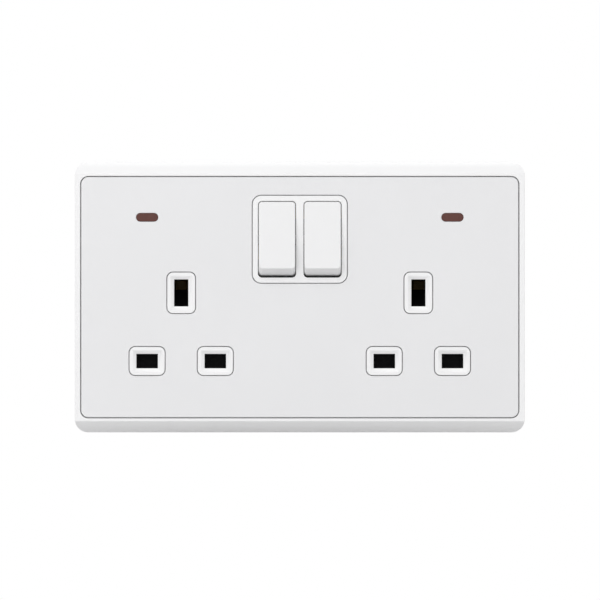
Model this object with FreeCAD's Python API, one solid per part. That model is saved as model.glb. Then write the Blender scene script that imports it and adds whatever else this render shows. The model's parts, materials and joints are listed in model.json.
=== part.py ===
import FreeCAD, Part
import math
import os

# A twin switched socket outlet for the wall, with a clip-on front plate.
# X runs to the right, Y into the wall and Z up. The origin is the middle of the
# two fixing holes, on the plane of the wall. All sizes are in millimetres.

# Frame
frame_width = 146.5
frame_margin = 9.0
projection = 9.5
frame_corner_radius = 4.4
band_lean = 3.6
band_foot = 1.5
band_bulge = 0.7
rim_width = 1.75
crest_width = 0.95
skirt_wall = 2.2
web_thickness = 2.1

# Front plate
plate_thickness = 2.0
plate_corner_radius = 2.3
groove = 0.35
seat_gap = 0.2
blade_width = 9.0
blade_thickness = 1.4
blade_length = 5.0
blade_taper = 0.4
blade_gap = 0.06
blade_wall = 1.2
blade_spacing_x = 56.0
blade_spacing_z = 75.0

# Pin holes
outlet_pitch = 77.2
pin_pitch = 22.2
earth_height = 1.4
line_hole_width = 7.0
line_hole_height = 4.7
earth_hole_width = 4.6
earth_hole_height = 8.8
surround_width = 2.25
surround_corner_radius = 1.9
surround_groove = 0.25
funnel_width = 1.1
funnel_depth = 0.8

# Switches
switch_height = 18.85
rocker_pitch = 14.84
well_width = 12.35
well_length = 24.9
well_corner_radius = 1.3
well_lip = 1.2
well_relief = 0.6
well_end_wall = 1.2
well_side_wall = 1.6
well_back = 1.0
bezel_width = 30.7
bezel_length = 28.4
bezel_corner_radius = 2.8
pivot_depth = 6.4
rocker_half_throw = 9.0
rocker_rise = 8.3
rocker_face_length = 22.0
rocker_end_draft = 18.0
rocker_draft_depth = 4.2
rocker_skirt_back = 1.0
rocker_cheek_back = 2.0
rocker_cheek_half = 3.0
rocker_side_gap = 0.2
rocker_wall = 1.3
rocker_face_wall = 1.6
rocker_corner_radius = 1.1
trunnion_radius = 1.4
trunnion_length = 1.2
trunnion_gap = 0.1

# Plungers and see-saw contacts
plunger_reach = 8.9
plunger_tip_radius = 1.3
plunger_head_radius = 1.8
plunger_head_front = -1.5
plunger_head_back = 2.3
plunger_bore_gap = 0.1
plunger_boss_wall = 1.0
plunger_boss_back = 2.6
plunger_spring_radius = 1.25
plunger_spring_turns = 4
plunger_spring_space = 0.75
spring_wire_radius = 0.22
coil_steps = 8
seesaw_depth = 16.3
seesaw_thickness = 0.8
seesaw_width = 5.0
seesaw_long_arm = 10.2
seesaw_short_arm = 6.0
fulcrum_gap = 0.1
fulcrum_width = 4.0
tip_arm = 8.5
tip_radius = 1.5
tip_thickness = 0.8
tip_gap = 0.1

# Shutters
shutter_front_gap = 0.3
shutter_thickness = 3.0
shutter_travel = 6.0
shutter_cover = 0.7
shutter_corner = 0.4
shutter_bar_height = 6.8
shutter_stem_width = 8.8
shutter_ramp_width = 5.4
shutter_ramp_depth = 6.0
shutter_ramp_cover = 0.5
shutter_slot_width = 3.4
shutter_slot_low = 4.3
shutter_slot_length = 12.0
shutter_peg_height = 1.6
shutter_peg_width = 2.4
shutter_spring_radius = 1.05
shutter_spring_turns = 6
guide_gap = 0.2
guide_thickness = 1.2
guide_rail_width = 1.2
guide_margin = 0.4
guide_foot = 1.0

# Rear housing
housing_side_gap = 0.3
housing_headroom = 0.1
terminal_seat_gap = 0.5
housing_depth = 17.5
housing_wall = 1.8
housing_floor = 2.0
housing_corner_radius = 3.2
housing_chamfer = 1.4
rib_thickness = 1.2
seat_size = 3.0
screw_radius = 1.3
screw_gap = 0.15
screw_head_radius = 2.4
screw_head_height = 1.6
pillar_half = 2.4
boss_wall = 0.9
pillar_back = 1.5
upper_screw_x = 38.6
upper_screw_drop = 4.6
lower_screw_x = 11.5
lower_screw_z = -6.5

# Conductors
strip_thickness = 0.8
strip_width = 5.0
clip_thickness = 0.6
clip_front = 0.8
earth_clip_front = 1.8
clip_mouth = 3.1
clip_pinch_depth = 1.8
clip_squeeze = 0.2
pin_thickness = 3.97
line_pin_width = 6.35
earth_pin_width = 7.92
line_layer = 10.0
deep_layer = 13.8
neutral_layer = 6.2
earth_layer = 13.4
neutral_bar_height = -13.5
neutral_bar_width = 4.0
neutral_bar_end = 45.0
carrier_height = 14.85
line_bar_drop = 4.0
line_bar_width = 5.4
earth_strap_width = 14.0

# Terminals
terminal_pitch = 12.0
terminal_width = 8.0
terminal_height = 9.0
terminal_drop = 9.7
terminal_front = 7.0
terminal_bore_radius = 2.4
terminal_bore_depth = 10.2
wire_hole_width = 6.4
clamp_screw_radius = 1.7
clamp_head_radius = 2.7
clamp_head_height = 1.6
clamp_access_radius = 3.1

# Neon indicators
neon_width = 7.1
neon_height = 2.7
neon_drop = 9.0
neon_gap = 0.06
neon_flange = 0.8
neon_flange_thickness = 0.8
lamp_radius = 1.7
lamp_length = 8.0
lamp_depth = 7.1
resistor_radius = 1.1
resistor_length = 7.0
resistor_offset = 12.7
lead_radius = 0.3
lead_spread = 1.6
lead_step = 1.0
lead_bend = 0.8
wire_flat_count = 4
rod_flat_count = 12
head_flat_count = 24

# Wall fixing
fixing_centres = 120.6
fixing_hole_radius = 2.15
fixing_boss_half = 6.0
fixing_recess_radius = 3.8

# Depths along Y that several pieces share
front = -projection
tray_floor = front + plate_thickness + seat_gap
web_back = tray_floor + web_thickness
shutter_front = web_back + shutter_front_gap
shutter_back = shutter_front + shutter_thickness
guide_front = shutter_back + guide_gap
guide_back = guide_front + guide_thickness
floor_inside = housing_depth - housing_floor
pivot_y = front + pivot_depth
seesaw_y = front + seesaw_depth

# Places across the face that several pieces share
line_row = earth_height - pin_pitch
terminal_low = line_row - terminal_drop
terminal_high = terminal_low + terminal_height
housing_inside_low = terminal_low - terminal_seat_gap
housing_bottom = housing_inside_low - housing_wall
well_top = switch_height + well_length / 2 + well_relief + well_end_wall
housing_top = well_top + housing_headroom + housing_wall
guide_end = (outlet_pitch + pin_pitch + line_hole_width) / 2 + shutter_cover
housing_half_width = guide_end + housing_side_gap + housing_wall
housing_middle = (housing_top + housing_bottom) / 2
frame_height = 2 * (housing_top + frame_margin)
upper_screw_z = housing_top - upper_screw_drop
line_bar_high = housing_top - line_bar_drop
line_bar_low = line_bar_high - line_bar_width
neon_level = housing_top - neon_drop
sides = {"left": -1, "right": 1}


def vec(x, y, z):
    return FreeCAD.Vector(x, y, z)


def block(x0, x1, y0, y1, z0, z1):
    return Part.makeBox(x1 - x0, y1 - y0, z1 - z0, vec(x0, y0, z0))


def rod_x(radius, x0, x1, y, z):
    return Part.makeCylinder(radius, x1 - x0, vec(x0, y, z), vec(1, 0, 0))


def rod_y(radius, x, y0, y1, z):
    return Part.makeCylinder(radius, y1 - y0, vec(x, y0, z), vec(0, 1, 0))


def rod_z(radius, x, y, z0, z1):
    return Part.makeCylinder(radius, z1 - z0, vec(x, y, z0), vec(0, 0, 1))


def union(shapes):
    return shapes[0].fuse(shapes[1:]).removeSplitter()


def outline(cx, cz, width, height, radius, y):
    # A rectangle with round corners, parallel to the wall, at depth y.
    a = width / 2 - radius
    b = height / 2 - radius
    edges = []
    corners = [(a, b, 0), (-a, b, 90), (-a, -b, 180), (a, -b, 270)]
    for i, (x, z, start) in enumerate(corners):
        arc = []
        for turn in (0, 45, 90):
            angle = math.radians(start + turn)
            arc.append(vec(cx + x + radius * math.cos(angle), y, cz + z + radius * math.sin(angle)))
        edges.append(Part.Arc(*arc).toShape())
        nx, nz, angle = corners[(i + 1) % 4]
        angle = math.radians(angle)
        after = vec(cx + nx + radius * math.cos(angle), y, cz + nz + radius * math.sin(angle))
        if arc[2].distanceToPoint(after) > 0.001:
            edges.append(Part.LineSegment(arc[2], after).toShape())
    return Part.Wire(edges)


def rectangle(cx, cz, width, height, y):
    a = width / 2
    b = height / 2
    corners = [vec(cx - a, y, cz - b), vec(cx + a, y, cz - b), vec(cx + a, y, cz + b), vec(cx - a, y, cz + b)]
    return Part.makePolygon(corners + corners[:1])


def slab(cx, cz, width, height, radius, y0, y1):
    return Part.Face(outline(cx, cz, width, height, radius, y0)).extrude(vec(0, y1 - y0, 0))


def sheet(points, y, thickness):
    # Flat strip parallel to the wall, from its outline of (x, z) points.
    corners = [vec(x, y, z) for x, z in points]
    return Part.Face(Part.makePolygon(corners + corners[:1])).extrude(vec(0, thickness, 0))


def side_profile(points, x0, x1):
    # Outline of (y, z) points carried along X.
    corners = [vec(x0, y, z) for y, z in points]
    return Part.Face(Part.makePolygon(corners + corners[:1])).extrude(vec(x1 - x0, 0, 0))


def offset_line(points, distance):
    # The same line moved sideways, with mitred corners.
    moved = []
    for i, (a, b) in enumerate(points):
        normals = []
        for first, second in ((i - 1, i), (i, i + 1)):
            if first < 0 or second >= len(points):
                continue
            da = points[second][0] - points[first][0]
            db = points[second][1] - points[first][1]
            length = math.hypot(da, db)
            normals.append((-db / length, da / length))
        na = sum(n[0] for n in normals)
        nb = sum(n[1] for n in normals)
        scale = distance * len(normals) / (na * na + nb * nb)
        moved.append((a + na * scale, b + nb * scale))
    return moved


def folded(points, thickness):
    # Section of a folded sheet around its middle line.
    return offset_line(points, thickness / 2) + offset_line(points, -thickness / 2)[::-1]


def tilt(shape, y, z, degrees):
    turned = shape.copy()
    turned.rotate(vec(0, y, z), vec(1, 0, 0), degrees)
    return turned


def wire_section(centre, first, second, radius, flats=wire_flat_count):
    # Thin wires have a few flats in place of a round section.
    corners = []
    for i in range(flats):
        angle = 2 * math.pi * i / flats
        corners.append(centre + first * (radius * math.cos(angle)) + second * (radius * math.sin(angle)))
    return Part.makePolygon(corners + corners[:1])


def flat_ring_x(radius, x, y, z):
    return wire_section(vec(x, y, z), vec(0, 1, 0), vec(0, 0, 1), radius, rod_flat_count)


def flat_ring_y(radius, x, y, z, flats=rod_flat_count):
    return wire_section(vec(x, y, z), vec(1, 0, 0), vec(0, 0, 1), radius, flats)


def flat_rod_x(radius, x0, x1, y, z):
    # Small rods and holes that stay hidden have flats in place of a round wall.
    return Part.Face(flat_ring_x(radius, x0, y, z)).extrude(vec(x1 - x0, 0, 0))


def flat_rod_y(radius, x, y0, y1, z, flats=rod_flat_count):
    return Part.Face(flat_ring_y(radius, x, y0, z, flats)).extrude(vec(0, y1 - y0, 0))


def tapered(near, far):
    # Solid with flat sides between two outlines that have as many corners.
    first = [v.Point for v in near.OrderedVertexes]
    second = [v.Point for v in far.OrderedVertexes]
    faces = [Part.Face(near), Part.Face(far)]
    for i in range(len(first)):
        j = (i + 1) % len(first)
        corners = [first[i], first[j], second[j], second[i]]
        faces.append(Part.Face(Part.makePolygon(corners + corners[:1])))
    solid = Part.Solid(Part.Shell(faces))
    if solid.Volume < 0:
        solid.reverse()
    return solid


def coil(radius, turns, length):
    # Spring along +Z from the origin, its ends inside the length.
    rise = length - 2 * spring_wire_radius
    steps = turns * coil_steps
    path = []
    for i in range(steps + 1):
        angle = 2 * math.pi * i / coil_steps
        height = spring_wire_radius + rise * i / steps
        path.append(vec(radius * math.cos(angle), radius * math.sin(angle), height))
    section = wire_section(path[0], vec(1, 0, 0), vec(0, 0, 1), spring_wire_radius)
    return Part.makePolygon(path).makePipeShell([section], True, True, 1)


def bent_wire(points, radius, bend):
    # Thin wire along straight runs, each bend as two chords of its arc.
    path = [points[0]]
    for before, corner, after in zip(points, points[1:], points[2:]):
        into = (corner - before).normalize()
        out = (after - corner).normalize()
        half_turn = into.getAngle(out) / 2
        reach = bend * math.tan(half_turn)
        inward = (out - into).normalize()
        centre = corner + inward * (bend / math.cos(half_turn))
        path += [corner - into * reach, centre - inward * bend, corner + out * reach]
    path.append(points[-1])
    heading = (points[1] - points[0]).normalize()
    across = (points[-1] - points[0]).cross(heading).normalize()
    section = wire_section(points[0], across, heading.cross(across), radius)
    return Part.makePolygon(path).makePipeShell([section], True, True, 1)


def outlet_x(side):
    return side * outlet_pitch / 2


def rocker_x(side):
    return side * rocker_pitch / 2


def line_x(side):
    return outlet_x(side) + pin_pitch / 2


def neutral_x(side):
    return outlet_x(side) - pin_pitch / 2


def neon_x(side):
    return side * (outlet_pitch + pin_pitch) / 2


def pin_holes():
    # Every pin hole as its centre and its size.
    holes = []
    for side in sides.values():
        holes.append((outlet_x(side), earth_height, earth_hole_width, earth_hole_height))
        holes.append((line_x(side), line_row, line_hole_width, line_hole_height))
        holes.append((neutral_x(side), line_row, line_hole_width, line_hole_height))
    return holes


def terminal_places():
    return {
        "neutral_terminal": -1.5 * terminal_pitch,
        "earth_terminal_left": -0.5 * terminal_pitch,
        "earth_terminal_right": 0.5 * terminal_pitch,
        "line_terminal": 1.5 * terminal_pitch,
    }


def screw_places():
    places = []
    for side in sides.values():
        places.append((side * upper_screw_x, upper_screw_z))
        places.append((side * lower_screw_x, lower_screw_z))
    return places


def blade_places():
    return [(a * blade_spacing_x, b * blade_spacing_z / 2) for a in (-1, 0, 1) for b in (-1, 1)]


def frame_shell():
    # The bands lean in as convex arcs from a straight foot to the crest.
    half = frame_height / 2
    crest = half - band_lean
    left = -frame_width / 2
    foot = vec(left, -band_foot, half)
    top = vec(left, front, crest)
    chord = (top - foot).normalize()
    outward = vec(0, chord.z, -chord.y)
    middle = (foot + top) * 0.5 + outward * band_bulge

    def low(point):
        return vec(point.x, point.y, -point.z)

    edges = [
        Part.LineSegment(vec(left, 0, half), foot).toShape(),
        Part.Arc(foot, middle, top).toShape(),
        Part.LineSegment(top, low(top)).toShape(),
        Part.Arc(low(top), low(middle), low(foot)).toShape(),
        Part.LineSegment(low(foot), vec(left, 0, -half)).toShape(),
        Part.LineSegment(vec(left, 0, -half), vec(left, 0, half)).toShape(),
    ]
    bands = Part.Face(Part.Wire(edges)).extrude(vec(frame_width, 0, 0))
    plan = slab(0, 0, frame_width, frame_height, frame_corner_radius, front, 0)
    body = bands.common(plan)
    tray_width = frame_width - 2 * rim_width
    tray_height = 2 * (crest - crest_width)
    tray = slab(0, 0, tray_width, tray_height, plate_corner_radius + groove, front, tray_floor)
    inner_radius = frame_corner_radius - skirt_wall / 2
    inner_height = frame_height - 2 * skirt_wall - band_foot * 0.4
    hollow = slab(0, 0, frame_width - 2 * skirt_wall, inner_height, inner_radius, web_back, 0)
    return body.cut([tray, hollow])


def frame_additions():
    added = []
    margin = 2 * surround_width
    for x, z, width, height in pin_holes():
        added.append(slab(x, z, width + margin, height + margin, surround_corner_radius, front, tray_floor))
    added.append(slab(0, switch_height, bezel_width, bezel_length, bezel_corner_radius, front, tray_floor))
    box_width = rocker_pitch + well_width + 2 * well_side_wall
    box_length = well_length + 2 * (well_relief + well_end_wall)
    added.append(slab(0, switch_height, box_width, box_length, well_end_wall, web_back, well_back))
    for x, z in screw_places():
        a = pillar_half
        added.append(block(x - a, x + a, web_back, pillar_back, z - a, z + a))
    for x, z in blade_places():
        a = blade_width / 2 + blade_wall
        b = blade_thickness / 2 + blade_wall
        added.append(block(x - a, x + a, web_back, tray_floor + blade_length, z - b, z + b))
    for side in sides.values():
        a = fixing_boss_half
        inner = side * (housing_half_width + seat_gap)
        outer = side * (fixing_centres / 2 + a)
        added.append(block(min(inner, outer), max(inner, outer), web_back, 0, -a, a))
        peg_low = line_row + shutter_bar_height / 2 + shutter_slot_low - shutter_peg_height
        half = shutter_peg_width / 2
        low = peg_low - guide_gap
        cx = outlet_x(side)
        added.append(block(cx - half, cx + half, web_back, shutter_back, low, low + shutter_peg_height))
    return added + frame_ribs()


def frame_ribs():
    # Ribs behind the web, from the rear housing out to the skirt.
    ribs = []
    half_rib = rib_thickness / 2
    back = web_back + web_thickness * 1.5
    edge = frame_height / 2 - skirt_wall
    for share in (-0.75, -0.25, 0.25, 0.75):
        x = share * housing_half_width
        ribs.append(block(x - half_rib, x + half_rib, web_back, back, housing_top + seat_gap, edge))
        ribs.append(block(x - half_rib, x + half_rib, web_back, back, -edge, housing_bottom - seat_gap))
    for side in sides.values():
        inner = side * (fixing_centres / 2 + fixing_recess_radius)
        outer = side * (frame_width / 2 - skirt_wall / 2)
        low, high = sorted((inner, outer))
        ribs.append(block(low, high, web_back, back, -half_rib, half_rib))
    return ribs


def frame_cuts():
    cuts = []
    for x, z, width, height in pin_holes():
        mouth = rectangle(x, z, width + 2 * funnel_width, height + 2 * funnel_width, front)
        throat = rectangle(x, z, width, height, front + funnel_depth)
        cuts.append(tapered(mouth, throat))
        half_width, half_height = width / 2, height / 2
        cuts.append(block(x - half_width, x + half_width, front, web_back, z - half_height, z + half_height))
    for side in sides.values():
        x = rocker_x(side)
        lip_back = front + well_lip
        cuts.append(slab(x, switch_height, well_width, well_length, well_corner_radius, front, lip_back))
        half = well_length / 2 + well_relief
        half_width = well_width / 2
        low, high = switch_height - half, switch_height + half
        cuts.append(block(x - half_width, x + half_width, lip_back, well_back, low, high))
    reach = rocker_pitch / 2 + well_width / 2 + well_side_wall
    radius = trunnion_radius + trunnion_gap
    cuts.append(rod_x(radius, -reach, reach, pivot_y, switch_height))
    cuts.append(block(-reach, reach, pivot_y, well_back, switch_height - radius, switch_height + radius))
    for x, z in screw_places():
        cuts.append(flat_rod_y(screw_radius + screw_gap / 3, x, web_back + web_thickness / 2, pillar_back, z))
    for x, z in blade_places():
        a = blade_width / 2 + blade_gap
        b = blade_thickness / 2 + blade_gap
        cuts.append(block(x - a, x + a, tray_floor, tray_floor + blade_length, z - b, z + b))
    for side in sides.values():
        x = side * fixing_centres / 2
        cuts.append(rod_y(fixing_hole_radius, x, tray_floor, 0, 0))
        cuts.append(rod_y(fixing_recess_radius, x, tray_floor, web_back, 0))
        width = neon_width + 2 * neon_gap
        height = neon_height + 2 * neon_gap
        cuts.append(slab(neon_x(side), neon_level, width, height, height / 2, tray_floor, web_back))
    return cuts


def base_frame():
    solid = union([frame_shell()] + frame_additions())
    return solid.cut(frame_cuts())


def front_plate():
    crest = frame_height / 2 - band_lean
    width = frame_width - 2 * rim_width - 2 * groove
    height = 2 * (crest - crest_width - groove)
    back = front + plate_thickness
    plate = slab(0, 0, width, height, plate_corner_radius, front, back)
    cuts = []
    margin = 2 * (surround_width + surround_groove)
    radius = surround_corner_radius + surround_groove
    for x, z, hole_width, hole_height in pin_holes():
        cuts.append(slab(x, z, hole_width + margin, hole_height + margin, radius, front, back))
    gap = 2 * surround_groove
    radius = bezel_corner_radius + surround_groove
    cuts.append(slab(0, switch_height, bezel_width + gap, bezel_length + gap, radius, front, back))
    for side in sides.values():
        width = neon_width + 2 * neon_gap
        height = neon_height + 2 * neon_gap
        cuts.append(slab(neon_x(side), neon_level, width, height, height / 2, front, back))
    blades = []
    for x, z in blade_places():
        # Each friction blade narrows to its tip.
        root = rectangle(x, z, blade_width, blade_thickness, back)
        middle = rectangle(x, z, blade_width, blade_thickness, back + blade_length / 2)
        tip = rectangle(x, z, blade_width - blade_taper, blade_thickness - blade_taper, back + blade_length)
        blades.append(tapered(root, middle))
        blades.append(tapered(middle, tip))
    return union([plate] + blades).cut(cuts)


def neon_lens(side):
    x = neon_x(side)
    window = slab(x, neon_level, neon_width, neon_height, neon_height / 2, front, web_back)
    a = neon_width / 2 + neon_flange
    b = neon_height / 2 + neon_flange
    flange_back = web_back + neon_flange_thickness
    flange = block(x - a, x + a, web_back, flange_back, neon_level - b, neon_level + b)
    return union([window, flange])


def rocker_outline(inset, face_inset, open_back):
    # Side view of a rocker about its pivot, as (y, z) points for a level rocker.
    face = rocker_face_length / 2 - inset
    end = rocker_face_length / 2 + rocker_draft_depth * math.tan(math.radians(rocker_end_draft)) - inset
    shoulder = rocker_draft_depth - rocker_rise
    upper = [(face_inset - rocker_rise, face), (shoulder, end)]
    if open_back:
        upper.append((rocker_cheek_back + rocker_wall, end))
    else:
        upper.append((-rocker_skirt_back, end))
        upper.append((rocker_cheek_back, rocker_cheek_half))
    lower = [(y, -z) for y, z in upper]
    points = upper + lower[::-1]
    return [(pivot_y + y, switch_height + z) for y, z in points]


def rocker(side):
    x = rocker_x(side)
    half = well_width / 2 - rocker_side_gap
    body = side_profile(rocker_outline(0, 0, False), x - half, x + half)
    face = pivot_y - rocker_rise
    corners = []
    for edge in body.Edges:
        box = edge.BoundBox
        beyond = abs(box.Center.z - switch_height) > rocker_face_length / 2
        if box.XLength < 0.001 and box.ZLength < rocker_draft_depth and beyond:
            corners.append(edge)
    body = body.makeFillet(rocker_corner_radius, corners)
    inner = half - rocker_wall
    hollow = side_profile(rocker_outline(rocker_wall, rocker_face_wall, True), x - inner, x + inner)
    boss_front = face + rocker_face_wall
    bore = plunger_head_radius + plunger_bore_gap
    boss_back = pivot_y + plunger_boss_back
    boss = flat_rod_y(bore + plunger_boss_wall, x, boss_front, boss_back, switch_height)
    half_rib = rocker_wall / 2
    rib_low, rib_high = switch_height - half_rib, switch_height + half_rib
    rib = block(x - inner, x + inner, boss_front, pivot_y, rib_low, rib_high)
    reach = half + trunnion_length
    trunnions = [
        rod_x(trunnion_radius, x - reach, x - inner, pivot_y, switch_height),
        rod_x(trunnion_radius, x + inner, x + reach, pivot_y, switch_height),
    ]
    shell = union([body.cut(hollow), boss, rib] + trunnions)
    shell = shell.cut(flat_rod_y(bore, x, boss_front, boss_back, switch_height))
    return tilt(shell, pivot_y, switch_height, -rocker_half_throw)


def plunger(side):
    x = rocker_x(side)
    tip_start = plunger_reach - plunger_tip_radius
    head_front = pivot_y + plunger_head_front
    head_back = pivot_y + plunger_head_back
    head = flat_rod_y(plunger_head_radius, x, head_front, head_back, switch_height)
    stem = flat_rod_y(plunger_tip_radius, x, head_back, pivot_y + tip_start, switch_height)
    wide = flat_ring_y(plunger_tip_radius, x, pivot_y + tip_start, switch_height)
    narrow = flat_ring_y(plunger_tip_radius / 3, x, pivot_y + plunger_reach, switch_height)
    tip = tapered(wide, narrow)
    return tilt(union([head, stem, tip]), pivot_y, switch_height, -rocker_half_throw)


def plunger_spring(side):
    # It sits against the closed end of the rocker's bore, as long as when the plunger is pushed in.
    bore_end = rocker_face_wall - rocker_rise
    length = plunger_head_front - plunger_spring_space - bore_end
    spring = coil(plunger_spring_radius, plunger_spring_turns, length)
    spring.rotate(vec(0, 0, 0), vec(1, 0, 0), -90)
    spring.translate(vec(rocker_x(side), pivot_y + bore_end, switch_height))
    return tilt(spring, pivot_y, switch_height, -rocker_half_throw)


def moving_contact(side):
    x = rocker_x(side)
    half = seesaw_width / 2
    nose = seesaw_long_arm - tip_arm
    points = [
        (x - half, switch_height - seesaw_short_arm),
        (x + half, switch_height - seesaw_short_arm),
        (x + half, switch_height + tip_arm),
        (x + half - nose, switch_height + seesaw_long_arm),
        (x - half + nose, switch_height + seesaw_long_arm),
        (x - half, switch_height + tip_arm),
    ]
    lever = sheet(points, seesaw_y - seesaw_thickness, seesaw_thickness)
    ears = []
    for sign in (-1, 1):
        low, high = sorted((sign * half, sign * (half + seesaw_thickness)))
        ear_back = seesaw_y + seesaw_thickness
        ear_front = seesaw_y - seesaw_thickness
        reach = seesaw_thickness * 1.5
        ears.append(
            block(x + low, x + high, ear_front, ear_back, switch_height - reach, switch_height + reach)
        )
    return tilt(union([lever] + ears), seesaw_y, switch_height, rocker_half_throw)


def moving_tip(side):
    z = switch_height + tip_arm
    tip = flat_rod_y(tip_radius, rocker_x(side), seesaw_y, seesaw_y + tip_thickness, z)
    return tilt(tip, seesaw_y, switch_height, rocker_half_throw)


def closed_tip_back():
    # The furthest point that a moving tip reaches when its switch is on.
    throw = math.radians(rocker_half_throw)
    return seesaw_y + (tip_arm + tip_radius) * math.sin(throw) + tip_thickness * math.cos(throw)


def fixed_tips():
    face = closed_tip_back() + tip_gap
    z = switch_height + tip_arm * math.cos(math.radians(rocker_half_throw))
    tips = [flat_rod_y(tip_radius, rocker_x(side), face, line_layer, z) for side in sides.values()]
    return Part.makeCompound(tips)


def line_bar():
    terminal = terminal_places()["line_terminal"]
    half = strip_width / 2 - 0.5 * strip_thickness
    reach = rocker_pitch / 2 + strip_width * 0.7
    points = [
        (-reach, line_bar_low),
        (terminal - half, line_bar_low),
        (terminal - half, terminal_high),
        (terminal + half, terminal_high),
        (terminal + half, line_bar_high),
        (-reach, line_bar_high),
    ]
    strip = sheet(points, line_layer, strip_thickness)
    tab_half = terminal_width / 2 - strip_thickness
    tab = block(
        terminal - tab_half,
        terminal + tab_half,
        terminal_front + strip_thickness,
        floor_inside - strip_thickness,
        terminal_high,
        terminal_high + strip_thickness,
    )
    return union([strip, tab])


def clip_outline(mouth, rear):
    # Middle line of a U-shaped pin clip as (depth, offset) points, from lip to lip.
    pinch = pin_thickness / 2 - clip_squeeze + clip_thickness / 2
    shoulder = pin_thickness / 2 + clip_thickness * 1.5
    upper = [
        (mouth, clip_mouth),
        (mouth + clip_pinch_depth, pinch),
        (rear - 2 * clip_thickness, shoulder),
        (rear, shoulder - clip_thickness),
    ]
    return upper + [(a, -b) for a, b in upper[::-1]]


def line_clip(x, rear):
    # Leaves above and below a flat pin.
    points = [(y, line_row + z) for y, z in clip_outline(clip_front, rear - clip_thickness / 2)]
    half = line_pin_width / 2
    return side_profile(folded(points, clip_thickness), x - half, x + half)


def line_contact(side):
    layer = line_layer if side < 0 else deep_layer
    clip_x = line_x(side)
    pad_x = rocker_x(side)
    half = strip_width / 2
    pad_half = fulcrum_width / 2 + strip_thickness
    pad_high = switch_height + strip_thickness * 1.5
    low, high = carrier_height - half, carrier_height + half
    run_end = clip_x + half
    tag_x = side * (neon_x(1) - resistor_offset - resistor_length / 2 - strip_width)
    tag_high = neon_level + strip_thickness
    strip = [sheet_between(clip_x, line_row, clip_x, high, strip_width, layer)]
    inner_end = pad_x if side < 0 else pad_x + pad_half + strip_width
    ends = sorted((inner_end, clip_x - half if side < 0 else run_end))
    strip.append(block(ends[0], ends[1], layer, layer + strip_thickness, low, high))
    strip.append(sheet_between(tag_x, carrier_height, tag_x, tag_high, strip_width / 2, layer))
    pad = block(pad_x - pad_half, pad_x + pad_half, line_layer, line_layer + strip_thickness, low, pad_high)
    strip.append(pad)
    if side > 0:
        # The right strip steps back to pass behind the line bar.
        shelf_end = pad_x + pad_half + strip_width
        bend_x = pad_x + pad_half
        thickness = strip_thickness
        strip.append(block(bend_x - thickness, bend_x, line_layer, layer + thickness, low, high))
        strip.append(block(bend_x - thickness, shelf_end, layer, layer + thickness, low, high))
    edge = seesaw_y + fulcrum_gap
    ridge = fulcrum_width / 2
    ridge_points = [
        (edge, switch_height),
        (line_layer, switch_height - strip_thickness),
        (line_layer, switch_height + strip_thickness),
    ]
    strip.append(side_profile(ridge_points, pad_x - ridge, pad_x + ridge))
    strip.append(line_clip(clip_x, layer + strip_thickness))
    return union(strip)


def sheet_between(x0, z0, x1, z1, width, y):
    # Straight strip from one point to another, parallel to the wall.
    half = width / 2
    if x0 == x1:
        return block(x0 - half, x0 + half, y, y + strip_thickness, min(z0, z1), max(z0, z1))
    return block(min(x0, x1), max(x0, x1), y, y + strip_thickness, z0 - half, z0 + half)


def neutral_bar():
    left_end = neutral_x(-1) - strip_width / 2
    bar = sheet_between(left_end, neutral_bar_height, neutral_bar_end, neutral_bar_height, neutral_bar_width,
                        neutral_layer)
    pieces = [bar]
    arm_low = line_row + pin_thickness / 2
    for side in sides.values():
        x = neutral_x(side)
        pieces.append(sheet_between(x, arm_low, x, neutral_bar_height, strip_width, neutral_layer))
        pieces.append(line_clip(x, line_layer))
    terminal = terminal_places()["neutral_terminal"]
    pieces.append(
        sheet_between(terminal, terminal_low + strip_thickness, terminal, neutral_bar_height, strip_width,
                      neutral_layer)
    )
    return union(pieces)


def earth_bar():
    rear = earth_layer + strip_thickness
    bar = sheet_between(outlet_x(-1), earth_height, outlet_x(1), earth_height, strip_width, earth_layer)
    pieces = [bar]
    half = earth_pin_width / 2
    for side in sides.values():
        points = clip_outline(earth_clip_front, rear - clip_thickness / 2)
        section = [
            vec(outlet_x(side) + x, y, earth_height - half) for y, x in folded(points, clip_thickness)
        ]
        pieces.append(Part.Face(Part.makePolygon(section + section[:1])).extrude(vec(0, 0, earth_pin_width)))
    strap = earth_strap_width / 2
    pieces.append(block(-strap, strap, earth_layer, rear, terminal_high, earth_height))
    tab_front = terminal_front + strip_thickness
    tab_high = terminal_high + strip_thickness
    pieces.append(block(-strap, strap, tab_front, rear, terminal_high, tab_high))
    return union(pieces)


def terminal_block(x):
    half = terminal_width / 2
    body = block(x - half, x + half, terminal_front, floor_inside, terminal_low, terminal_high)
    upright = [e for e in body.Edges if e.BoundBox.ZLength > terminal_height / 2]
    body = body.makeChamfer(strip_thickness / 2, upright)
    middle = (terminal_low + terminal_high) / 2
    thread = clamp_screw_radius + trunnion_gap / 2
    return body.cut([
        rod_z(terminal_bore_radius, x, terminal_bore_depth, terminal_low, terminal_high),
        flat_rod_y(thread, x, terminal_bore_depth, floor_inside, middle),
    ])


def terminal_screws():
    middle = (terminal_low + terminal_high) / 2
    screws = []
    for x in terminal_places().values():
        tip = terminal_bore_depth + terminal_bore_radius
        head_back = floor_inside + clamp_head_height
        shank = flat_rod_y(clamp_screw_radius, x, tip, floor_inside + screw_gap, middle)
        head = flat_rod_y(clamp_head_radius, x, floor_inside + screw_gap, head_back, middle, head_flat_count)
        slot_half = strip_thickness / 2
        slot_reach = clamp_head_radius + 1
        slot_front = head_back - strip_thickness
        slot = block(x - slot_reach, x + slot_reach, slot_front, head_back, middle - slot_half,
                     middle + slot_half)
        screws.append(union([shank, head]).cut(slot))
    return Part.makeCompound(screws)


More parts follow.
